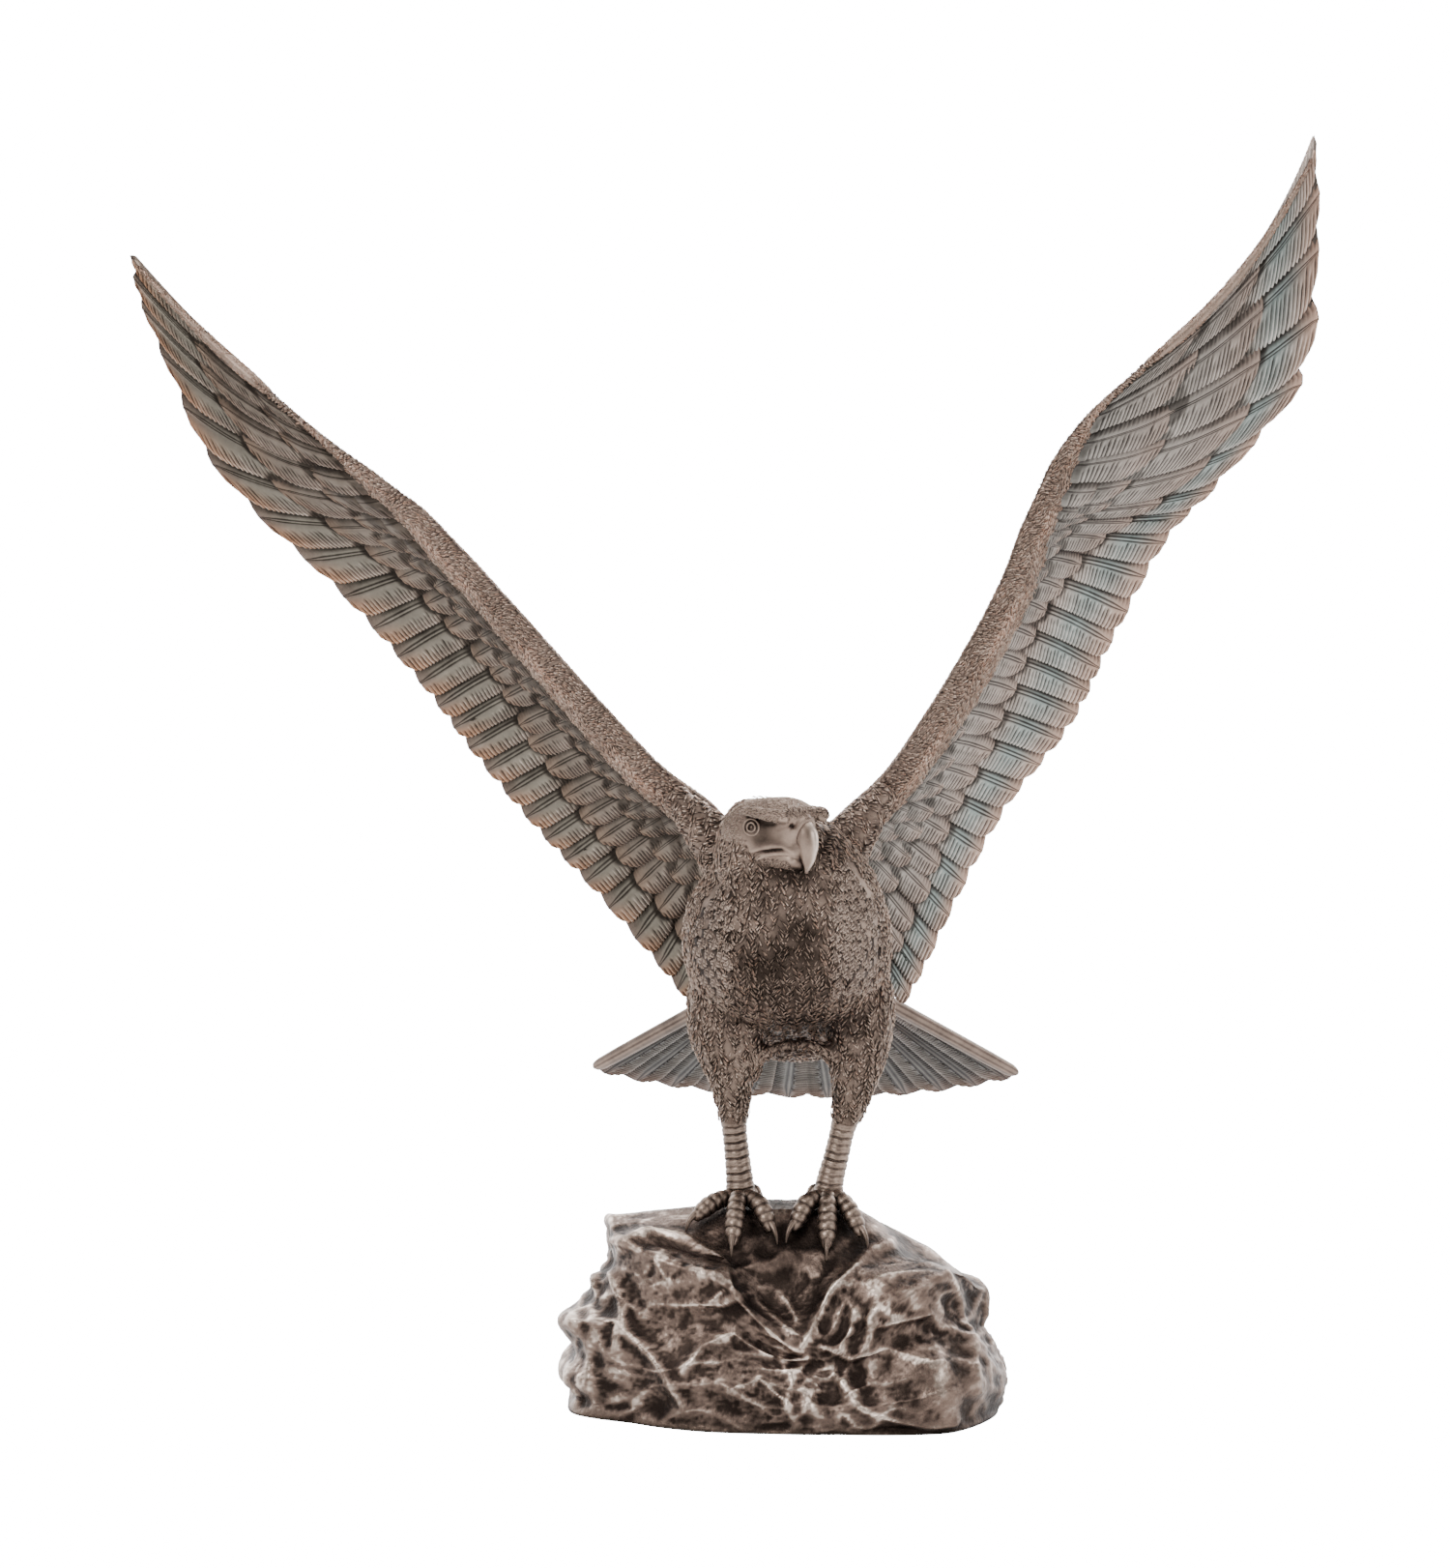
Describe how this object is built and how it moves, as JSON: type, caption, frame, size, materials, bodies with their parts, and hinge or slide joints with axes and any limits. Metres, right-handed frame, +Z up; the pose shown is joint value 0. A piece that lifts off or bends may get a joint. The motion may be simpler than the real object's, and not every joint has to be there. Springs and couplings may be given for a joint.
{
  "type": "cast silver eagle ornament on a rock plinth",
  "caption": "Cast silver figure of an eagle standing on a craggy rock plinth, wings raised in a V, head turned to its left and tail fanned out behind.",
  "frame": {"origin": "the middle of the rock plinth's flat underside, on the table", "axes": "+Z up; the bird faces -Y; +X is to the right for someone who faces the bird, which is the bird's own left"},
  "size_m": [0.3694, 0.1769, 0.393],
  "materials": {
    "worn_silver": "oxidised silver, dark in the carving and worn bright on the ridges",
    "dark_silver": "heavily oxidised pitted silver with worn ridges"
  },
  "bodies": {
    "root": {"eagle": "worn_silver", "rock_plinth": "dark_silver"}
  },
  "joints": []
}
